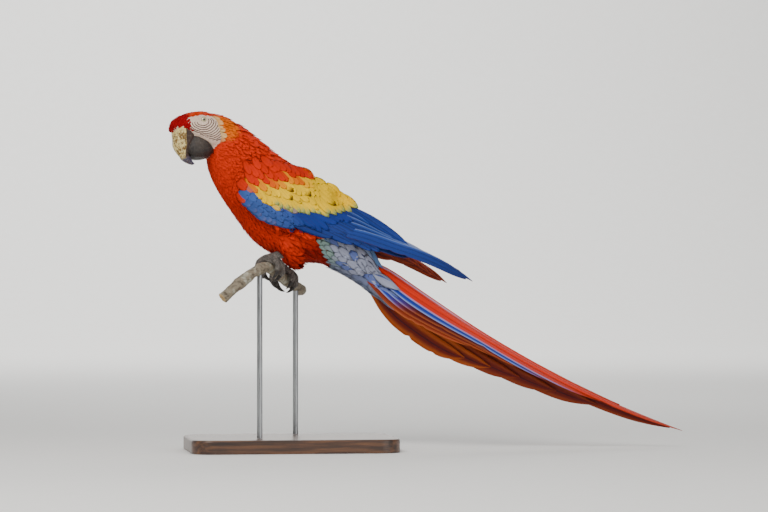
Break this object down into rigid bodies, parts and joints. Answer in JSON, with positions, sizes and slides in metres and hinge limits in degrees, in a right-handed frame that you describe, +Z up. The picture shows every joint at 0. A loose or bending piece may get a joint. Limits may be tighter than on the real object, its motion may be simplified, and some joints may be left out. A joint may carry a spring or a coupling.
{
  "type": "display model of a scarlet macaw",
  "caption": "Life-size still model of a long-tailed red, yellow and blue parrot gripping a cut length of branch, held up by thin rods on a flat base.",
  "frame": {"origin": "middle of the stand's underside, on the surface it rests on", "axes": "the bird faces -X and its tail trails towards +X; +Y is the bird's right side; +Z is up"},
  "size_m": [0.7642, 0.19, 0.4897],
  "materials": {
    "scarlet_plumage": "soft overlapping feathers",
    "yellow_blue_coverts": "soft overlapping feathers",
    "blue_quills": "satin quill vanes",
    "red_quills": "satin quill vanes",
    "pale_blue_plumage": "soft overlapping feathers",
    "ivory_bill": "worn horn",
    "black_horn": "dark horn",
    "eye": "polished, opaque iris behind a clear front",
    "scaly_skin": "dry scales",
    "bark": "weathered bark",
    "stand_wood": "dark stained, satin",
    "stand_steel": "brushed"
  },
  "bodies": {
    "root": {"bill_lower": "black_horn", "bill_upper": "ivory_bill", "claw_1_left": "black_horn", "claw_1_right": "black_horn", "claw_2_left": "black_horn", "claw_2_right": "black_horn", "claw_3_left": "black_horn", "claw_3_right": "black_horn", "claw_4_left": "black_horn", "claw_4_right": "black_horn", "eye_left": "eye", "eye_right": "eye", "foot_left": "scaly_skin", "foot_right": "scaly_skin", "head": "scarlet_plumage", "neck": "scarlet_plumage", "perch_branch": "bark", "primary_1_left": "blue_quills", "primary_1_right": "blue_quills", "primary_2_left": "blue_quills", "primary_2_right": "blue_quills", "primary_3_left": "blue_quills", "primary_3_right": "blue_quills", "primary_4_left": "blue_quills", "primary_4_right": "blue_quills", "primary_5_left": "blue_quills", "primary_5_right": "blue_quills", "secondary_1_left": "blue_quills", "secondary_1_right": "blue_quills", "secondary_2_left": "blue_quills", "secondary_2_right": "blue_quills", "stand_base": "stand_wood", "stand_rod_far": "stand_steel", "stand_rod_near": "stand_steel", "tail_coverts_lower": "pale_blue_plumage", "tail_coverts_upper": "pale_blue_plumage", "tail_feather_1_left": "red_quills", "tail_feather_1_right": "red_quills", "tail_feather_2_left": "red_quills", "tail_feather_2_right": "red_quills", "tail_feather_3_left": "blue_quills", "tail_feather_3_right": "blue_quills", "tail_feather_4_left": "blue_quills", "tail_feather_4_right": "blue_quills", "tail_feather_5_left": "blue_quills", "tail_feather_5_right": "blue_quills", "tail_feather_6_left": "blue_quills", "tail_feather_6_right": "blue_quills", "tertial_1_left": "blue_quills", "tertial_1_right": "blue_quills", "tertial_2_left": "blue_quills", "tertial_2_right": "blue_quills", "thigh_left": "scarlet_plumage", "thigh_right": "scarlet_plumage", "trunk": "scarlet_plumage", "wing_left": "yellow_blue_coverts", "wing_right": "yellow_blue_coverts"}
  },
  "joints": []
}
